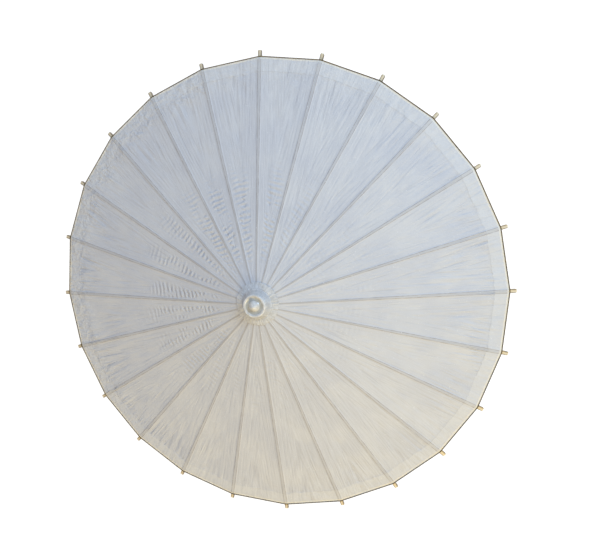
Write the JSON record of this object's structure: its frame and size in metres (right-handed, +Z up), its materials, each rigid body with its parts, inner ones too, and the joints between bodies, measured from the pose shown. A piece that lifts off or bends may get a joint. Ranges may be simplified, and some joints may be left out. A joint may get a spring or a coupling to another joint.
{
  "type": "oil paper umbrella",
  "caption": "Open paper umbrella with slotted bamboo ribs and stretchers, a sliding runner with a catch, a turned handle and a low finial.",
  "frame": {"origin": "centre of the handle's bottom face", "axes": "+Z up the shaft towards the finial; the first rib points along +X"},
  "size_m": [0.8222, 0.8222, 0.548],
  "materials": {
    "white_paper": "satin",
    "bamboo": "satin",
    "pale_wood": "satin",
    "turned_wood": "gloss",
    "finial_gloss": "gloss",
    "brown_cord": "matte",
    "white_thread": "matte",
    "steel_wire": "satin"
  },
  "bodies": {
    "frame": {"shaft": "bamboo", "handle": "turned_wood", "top_notch": "pale_wood", "notch_wire": "steel_wire", "finial": "finial_gloss", "paper_collar": "white_paper", "canopy_paper": "white_paper", "rim_cord": "brown_cord", "pivot_thread": "white_thread", "catch_pin": "steel_wire"},
    "runner": {"runner": "pale_wood"},
    "catch": {"catch_spring": "steel_wire"},
    "rib_01": {"rib_01": "bamboo"},
    "stretcher_01": {"stretcher_01": "bamboo"},
    "rib_02": {"rib_02": "bamboo"},
    "stretcher_02": {"stretcher_02": "bamboo"},
    "rib_03": {"rib_03": "bamboo"},
    "stretcher_03": {"stretcher_03": "bamboo"},
    "rib_04": {"rib_04": "bamboo"},
    "stretcher_04": {"stretcher_04": "bamboo"},
    "rib_05": {"rib_05": "bamboo"},
    "stretcher_05": {"stretcher_05": "bamboo"},
    "rib_06": {"rib_06": "bamboo"},
    "stretcher_06": {"stretcher_06": "bamboo"},
    "rib_07": {"rib_07": "bamboo"},
    "stretcher_07": {"stretcher_07": "bamboo"},
    "rib_08": {"rib_08": "bamboo"},
    "stretcher_08": {"stretcher_08": "bamboo"},
    "rib_09": {"rib_09": "bamboo"},
    "stretcher_09": {"stretcher_09": "bamboo"},
    "rib_10": {"rib_10": "bamboo"},
    "stretcher_10": {"stretcher_10": "bamboo"},
    "rib_11": {"rib_11": "bamboo"},
    "stretcher_11": {"stretcher_11": "bamboo"},
    "rib_12": {"rib_12": "bamboo"},
    "stretcher_12": {"stretcher_12": "bamboo"},
    "rib_13": {"rib_13": "bamboo"},
    "stretcher_13": {"stretcher_13": "bamboo"},
    "rib_14": {"rib_14": "bamboo"},
    "stretcher_14": {"stretcher_14": "bamboo"},
    "rib_15": {"rib_15": "bamboo"},
    "stretcher_15": {"stretcher_15": "bamboo"},
    "rib_16": {"rib_16": "bamboo"},
    "stretcher_16": {"stretcher_16": "bamboo"},
    "rib_17": {"rib_17": "bamboo"},
    "stretcher_17": {"stretcher_17": "bamboo"},
    "rib_18": {"rib_18": "bamboo"},
    "stretcher_18": {"stretcher_18": "bamboo"},
    "rib_19": {"rib_19": "bamboo"},
    "stretcher_19": {"stretcher_19": "bamboo"},
    "rib_20": {"rib_20": "bamboo"},
    "stretcher_20": {"stretcher_20": "bamboo"},
    "rib_21": {"rib_21": "bamboo"},
    "stretcher_21": {"stretcher_21": "bamboo"},
    "rib_22": {"rib_22": "bamboo"},
    "stretcher_22": {"stretcher_22": "bamboo"},
    "rib_23": {"rib_23": "bamboo"},
    "stretcher_23": {"stretcher_23": "bamboo"},
    "rib_24": {"rib_24": "bamboo"},
    "stretcher_24": {"stretcher_24": "bamboo"}
  },
  "joints": [
    {"name": "runner_slide", "type": "slide", "parent": "frame", "child": "runner", "axis": [0, 0, -1], "range_m": [0, 0.26791], "deforming": ["canopy_paper", "rim_cord", "pivot_thread", "paper_collar"]},
    {"name": "catch_press", "type": "hinge", "parent": "frame", "child": "catch", "pos_m": [0.003, 0, 0.374], "axis": [0, 1, 0], "range_deg": [0, 9], "stiffness_Nm_per_rad": 0.02, "springref_deg": 9},
    {"name": "rib_01_pivot", "type": "hinge", "parent": "frame", "child": "rib_01", "pos_m": [0.017, 0, 0.52], "axis": [0, 1, 0], "range_deg": [-0.05, 72.31]},
    {"name": "stretcher_01_pivot", "type": "hinge", "parent": "rib_01", "child": "stretcher_01", "pos_m": [0.19108, 0, 0.4742], "axis": [0, 1, 0], "range_deg": [-144.62, 0.1]},
    {"name": "rib_02_pivot", "type": "hinge", "parent": "frame", "child": "rib_02", "pos_m": [0.01642, 0.0044, 0.52], "axis": [-0.2588, 0.9659, 0], "range_deg": [-0.05, 72.31]},
    {"name": "stretcher_02_pivot", "type": "hinge", "parent": "rib_02", "child": "stretcher_02", "pos_m": [0.18457, 0.04945, 0.4742], "axis": [-0.2588, 0.9659, 0], "range_deg": [-144.62, 0.1]},
    {"name": "rib_03_pivot", "type": "hinge", "parent": "frame", "child": "rib_03", "pos_m": [0.01472, 0.0085, 0.52], "axis": [-0.5, 0.866, 0], "range_deg": [-0.05, 72.31]},
    {"name": "stretcher_03_pivot", "type": "hinge", "parent": "rib_03", "child": "stretcher_03", "pos_m": [0.16548, 0.09554, 0.4742], "axis": [-0.5, 0.866, 0], "range_deg": [-144.62, 0.1]},
    {"name": "rib_04_pivot", "type": "hinge", "parent": "frame", "child": "rib_04", "pos_m": [0.01202, 0.01202, 0.52], "axis": [-0.7071, 0.7071, 0], "range_deg": [-0.05, 72.31]},
    {"name": "stretcher_04_pivot", "type": "hinge", "parent": "rib_04", "child": "stretcher_04", "pos_m": [0.13511, 0.13511, 0.4742], "axis": [-0.7071, 0.7071, 0], "range_deg": [-144.62, 0.1]},
    {"name": "rib_05_pivot", "type": "hinge", "parent": "frame", "child": "rib_05", "pos_m": [0.0085, 0.01472, 0.52], "axis": [-0.866, 0.5, 0], "range_deg": [-0.05, 72.31]},
    {"name": "stretcher_05_pivot", "type": "hinge", "parent": "rib_05", "child": "stretcher_05", "pos_m": [0.09554, 0.16548, 0.4742], "axis": [-0.866, 0.5, 0], "range_deg": [-144.62, 0.1]},
    {"name": "rib_06_pivot", "type": "hinge", "parent": "frame", "child": "rib_06", "pos_m": [0.0044, 0.01642, 0.52], "axis": [-0.9659, 0.2588, 0], "range_deg": [-0.05, 72.31]},
    {"name": "stretcher_06_pivot", "type": "hinge", "parent": "rib_06", "child": "stretcher_06", "pos_m": [0.04945, 0.18457, 0.4742], "axis": [-0.9659, 0.2588, 0], "range_deg": [-144.62, 0.1]},
    {"name": "rib_07_pivot", "type": "hinge", "parent": "frame", "child": "rib_07", "pos_m": [0, 0.017, 0.52], "axis": [-1, 0, 0], "range_deg": [-0.05, 72.31]},
    {"name": "stretcher_07_pivot", "type": "hinge", "parent": "rib_07", "child": "stretcher_07", "pos_m": [0, 0.19108, 0.4742], "axis": [-1, 0, 0], "range_deg": [-144.62, 0.1]},
    {"name": "rib_08_pivot", "type": "hinge", "parent": "frame", "child": "rib_08", "pos_m": [-0.0044, 0.01642, 0.52], "axis": [-0.9659, -0.2588, 0], "range_deg": [-0.05, 72.31]},
    {"name": "stretcher_08_pivot", "type": "hinge", "parent": "rib_08", "child": "stretcher_08", "pos_m": [-0.04945, 0.18457, 0.4742], "axis": [-0.9659, -0.2588, 0], "range_deg": [-144.62, 0.1]},
    {"name": "rib_09_pivot", "type": "hinge", "parent": "frame", "child": "rib_09", "pos_m": [-0.0085, 0.01472, 0.52], "axis": [-0.866, -0.5, 0], "range_deg": [-0.05, 72.31]},
    {"name": "stretcher_09_pivot", "type": "hinge", "parent": "rib_09", "child": "stretcher_09", "pos_m": [-0.09554, 0.16548, 0.4742], "axis": [-0.866, -0.5, 0], "range_deg": [-144.62, 0.1]},
    {"name": "rib_10_pivot", "type": "hinge", "parent": "frame", "child": "rib_10", "pos_m": [-0.01202, 0.01202, 0.52], "axis": [-0.7071, -0.7071, 0], "range_deg": [-0.05, 72.31]},
    {"name": "stretcher_10_pivot", "type": "hinge", "parent": "rib_10", "child": "stretcher_10", "pos_m": [-0.13511, 0.13511, 0.4742], "axis": [-0.7071, -0.7071, 0], "range_deg": [-144.62, 0.1]},
    {"name": "rib_11_pivot", "type": "hinge", "parent": "frame", "child": "rib_11", "pos_m": [-0.01472, 0.0085, 0.52], "axis": [-0.5, -0.866, 0], "range_deg": [-0.05, 72.31]},
    {"name": "stretcher_11_pivot", "type": "hinge", "parent": "rib_11", "child": "stretcher_11", "pos_m": [-0.16548, 0.09554, 0.4742], "axis": [-0.5, -0.866, 0], "range_deg": [-144.62, 0.1]},
    {"name": "rib_12_pivot", "type": "hinge", "parent": "frame", "child": "rib_12", "pos_m": [-0.01642, 0.0044, 0.52], "axis": [-0.2588, -0.9659, 0], "range_deg": [-0.05, 72.31]},
    {"name": "stretcher_12_pivot", "type": "hinge", "parent": "rib_12", "child": "stretcher_12", "pos_m": [-0.18457, 0.04945, 0.4742], "axis": [-0.2588, -0.9659, 0], "range_deg": [-144.62, 0.1]},
    {"name": "rib_13_pivot", "type": "hinge", "parent": "frame", "child": "rib_13", "pos_m": [-0.017, 0, 0.52], "axis": [0, -1, 0], "range_deg": [-0.05, 72.31]},
    {"name": "stretcher_13_pivot", "type": "hinge", "parent": "rib_13", "child": "stretcher_13", "pos_m": [-0.19108, 0, 0.4742], "axis": [0, -1, 0], "range_deg": [-144.62, 0.1]},
    {"name": "rib_14_pivot", "type": "hinge", "parent": "frame", "child": "rib_14", "pos_m": [-0.01642, -0.0044, 0.52], "axis": [0.2588, -0.9659, 0], "range_deg": [-0.05, 72.31]},
    {"name": "stretcher_14_pivot", "type": "hinge", "parent": "rib_14", "child": "stretcher_14", "pos_m": [-0.18457, -0.04945, 0.4742], "axis": [0.2588, -0.9659, 0], "range_deg": [-144.62, 0.1]},
    {"name": "rib_15_pivot", "type": "hinge", "parent": "frame", "child": "rib_15", "pos_m": [-0.01472, -0.0085, 0.52], "axis": [0.5, -0.866, 0], "range_deg": [-0.05, 72.31]},
    {"name": "stretcher_15_pivot", "type": "hinge", "parent": "rib_15", "child": "stretcher_15", "pos_m": [-0.16548, -0.09554, 0.4742], "axis": [0.5, -0.866, 0], "range_deg": [-144.62, 0.1]},
    {"name": "rib_16_pivot", "type": "hinge", "parent": "frame", "child": "rib_16", "pos_m": [-0.01202, -0.01202, 0.52], "axis": [0.7071, -0.7071, 0], "range_deg": [-0.05, 72.31]},
    {"name": "stretcher_16_pivot", "type": "hinge", "parent": "rib_16", "child": "stretcher_16", "pos_m": [-0.13511, -0.13511, 0.4742], "axis": [0.7071, -0.7071, 0], "range_deg": [-144.62, 0.1]},
    {"name": "rib_17_pivot", "type": "hinge", "parent": "frame", "child": "rib_17", "pos_m": [-0.0085, -0.01472, 0.52], "axis": [0.866, -0.5, 0], "range_deg": [-0.05, 72.31]},
    {"name": "stretcher_17_pivot", "type": "hinge", "parent": "rib_17", "child": "stretcher_17", "pos_m": [-0.09554, -0.16548, 0.4742], "axis": [0.866, -0.5, 0], "range_deg": [-144.62, 0.1]},
    {"name": "rib_18_pivot", "type": "hinge", "parent": "frame", "child": "rib_18", "pos_m": [-0.0044, -0.01642, 0.52], "axis": [0.9659, -0.2588, 0], "range_deg": [-0.05, 72.31]},
    {"name": "stretcher_18_pivot", "type": "hinge", "parent": "rib_18", "child": "stretcher_18", "pos_m": [-0.04945, -0.18457, 0.4742], "axis": [0.9659, -0.2588, 0], "range_deg": [-144.62, 0.1]},
    {"name": "rib_19_pivot", "type": "hinge", "parent": "frame", "child": "rib_19", "pos_m": [0, -0.017, 0.52], "axis": [1, 0, 0], "range_deg": [-0.05, 72.31]},
    {"name": "stretcher_19_pivot", "type": "hinge", "parent": "rib_19", "child": "stretcher_19", "pos_m": [0, -0.19108, 0.4742], "axis": [1, 0, 0], "range_deg": [-144.62, 0.1]},
    {"name": "rib_20_pivot", "type": "hinge", "parent": "frame", "child": "rib_20", "pos_m": [0.0044, -0.01642, 0.52], "axis": [0.9659, 0.2588, 0], "range_deg": [-0.05, 72.31]},
    {"name": "stretcher_20_pivot", "type": "hinge", "parent": "rib_20", "child": "stretcher_20", "pos_m": [0.04945, -0.18457, 0.4742], "axis": [0.9659, 0.2588, 0], "range_deg": [-144.62, 0.1]},
    {"name": "rib_21_pivot", "type": "hinge", "parent": "frame", "child": "rib_21", "pos_m": [0.0085, -0.01472, 0.52], "axis": [0.866, 0.5, 0], "range_deg": [-0.05, 72.31]},
    {"name": "stretcher_21_pivot", "type": "hinge", "parent": "rib_21", "child": "stretcher_21", "pos_m": [0.09554, -0.16548, 0.4742], "axis": [0.866, 0.5, 0], "range_deg": [-144.62, 0.1]},
    {"name": "rib_22_pivot", "type": "hinge", "parent": "frame", "child": "rib_22", "pos_m": [0.01202, -0.01202, 0.52], "axis": [0.7071, 0.7071, 0], "range_deg": [-0.05, 72.31]},
    {"name": "stretcher_22_pivot", "type": "hinge", "parent": "rib_22", "child": "stretcher_22", "pos_m": [0.13511, -0.13511, 0.4742], "axis": [0.7071, 0.7071, 0], "range_deg": [-144.62, 0.1]},
    {"name": "rib_23_pivot", "type": "hinge", "parent": "frame", "child": "rib_23", "pos_m": [0.01472, -0.0085, 0.52], "axis": [0.5, 0.866, 0], "range_deg": [-0.05, 72.31]},
    {"name": "stretcher_23_pivot", "type": "hinge", "parent": "rib_23", "child": "stretcher_23", "pos_m": [0.16548, -0.09554, 0.4742], "axis": [0.5, 0.866, 0], "range_deg": [-144.62, 0.1]},
    {"name": "rib_24_pivot", "type": "hinge", "parent": "frame", "child": "rib_24", "pos_m": [0.01642, -0.0044, 0.52], "axis": [0.2588, 0.9659, 0], "range_deg": [-0.05, 72.31]},
    {"name": "stretcher_24_pivot", "type": "hinge", "parent": "rib_24", "child": "stretcher_24", "pos_m": [0.18457, -0.04945, 0.4742], "axis": [0.2588, 0.9659, 0], "range_deg": [-144.62, 0.1]}
  ],
  "couplings": [
    {"joint": "rib_01_pivot", "follows": "runner_slide", "rad_per_m": 4.7074},
    {"joint": "stretcher_01_pivot", "follows": "runner_slide", "rad_per_m": -9.4149},
    {"joint": "rib_02_pivot", "follows": "runner_slide", "rad_per_m": 4.7074},
    {"joint": "stretcher_02_pivot", "follows": "runner_slide", "rad_per_m": -9.4149},
    {"joint": "rib_03_pivot", "follows": "runner_slide", "rad_per_m": 4.7074},
    {"joint": "stretcher_03_pivot", "follows": "runner_slide", "rad_per_m": -9.4149},
    {"joint": "rib_04_pivot", "follows": "runner_slide", "rad_per_m": 4.7074},
    {"joint": "stretcher_04_pivot", "follows": "runner_slide", "rad_per_m": -9.4149},
    {"joint": "rib_05_pivot", "follows": "runner_slide", "rad_per_m": 4.7074},
    {"joint": "stretcher_05_pivot", "follows": "runner_slide", "rad_per_m": -9.4149},
    {"joint": "rib_06_pivot", "follows": "runner_slide", "rad_per_m": 4.7074},
    {"joint": "stretcher_06_pivot", "follows": "runner_slide", "rad_per_m": -9.4149},
    {"joint": "rib_07_pivot", "follows": "runner_slide", "rad_per_m": 4.7074},
    {"joint": "stretcher_07_pivot", "follows": "runner_slide", "rad_per_m": -9.4149},
    {"joint": "rib_08_pivot", "follows": "runner_slide", "rad_per_m": 4.7074},
    {"joint": "stretcher_08_pivot", "follows": "runner_slide", "rad_per_m": -9.4149},
    {"joint": "rib_09_pivot", "follows": "runner_slide", "rad_per_m": 4.7074},
    {"joint": "stretcher_09_pivot", "follows": "runner_slide", "rad_per_m": -9.4149},
    {"joint": "rib_10_pivot", "follows": "runner_slide", "rad_per_m": 4.7074},
    {"joint": "stretcher_10_pivot", "follows": "runner_slide", "rad_per_m": -9.4149},
    {"joint": "rib_11_pivot", "follows": "runner_slide", "rad_per_m": 4.7074},
    {"joint": "stretcher_11_pivot", "follows": "runner_slide", "rad_per_m": -9.4149},
    {"joint": "rib_12_pivot", "follows": "runner_slide", "rad_per_m": 4.7074},
    {"joint": "stretcher_12_pivot", "follows": "runner_slide", "rad_per_m": -9.4149},
    {"joint": "rib_13_pivot", "follows": "runner_slide", "rad_per_m": 4.7074},
    {"joint": "stretcher_13_pivot", "follows": "runner_slide", "rad_per_m": -9.4149},
    {"joint": "rib_14_pivot", "follows": "runner_slide", "rad_per_m": 4.7074},
    {"joint": "stretcher_14_pivot", "follows": "runner_slide", "rad_per_m": -9.4149},
    {"joint": "rib_15_pivot", "follows": "runner_slide", "rad_per_m": 4.7074},
    {"joint": "stretcher_15_pivot", "follows": "runner_slide", "rad_per_m": -9.4149},
    {"joint": "rib_16_pivot", "follows": "runner_slide", "rad_per_m": 4.7074},
    {"joint": "stretcher_16_pivot", "follows": "runner_slide", "rad_per_m": -9.4149},
    {"joint": "rib_17_pivot", "follows": "runner_slide", "rad_per_m": 4.7074},
    {"joint": "stretcher_17_pivot", "follows": "runner_slide", "rad_per_m": -9.4149},
    {"joint": "rib_18_pivot", "follows": "runner_slide", "rad_per_m": 4.7074},
    {"joint": "stretcher_18_pivot", "follows": "runner_slide", "rad_per_m": -9.4149},
    {"joint": "rib_19_pivot", "follows": "runner_slide", "rad_per_m": 4.7074},
    {"joint": "stretcher_19_pivot", "follows": "runner_slide", "rad_per_m": -9.4149},
    {"joint": "rib_20_pivot", "follows": "runner_slide", "rad_per_m": 4.7074},
    {"joint": "stretcher_20_pivot", "follows": "runner_slide", "rad_per_m": -9.4149},
    {"joint": "rib_21_pivot", "follows": "runner_slide", "rad_per_m": 4.7074},
    {"joint": "stretcher_21_pivot", "follows": "runner_slide", "rad_per_m": -9.4149},
    {"joint": "rib_22_pivot", "follows": "runner_slide", "rad_per_m": 4.7074},
    {"joint": "stretcher_22_pivot", "follows": "runner_slide", "rad_per_m": -9.4149},
    {"joint": "rib_23_pivot", "follows": "runner_slide", "rad_per_m": 4.7074},
    {"joint": "stretcher_23_pivot", "follows": "runner_slide", "rad_per_m": -9.4149},
    {"joint": "rib_24_pivot", "follows": "runner_slide", "rad_per_m": 4.7074},
    {"joint": "stretcher_24_pivot", "follows": "runner_slide", "rad_per_m": -9.4149}
  ]
}
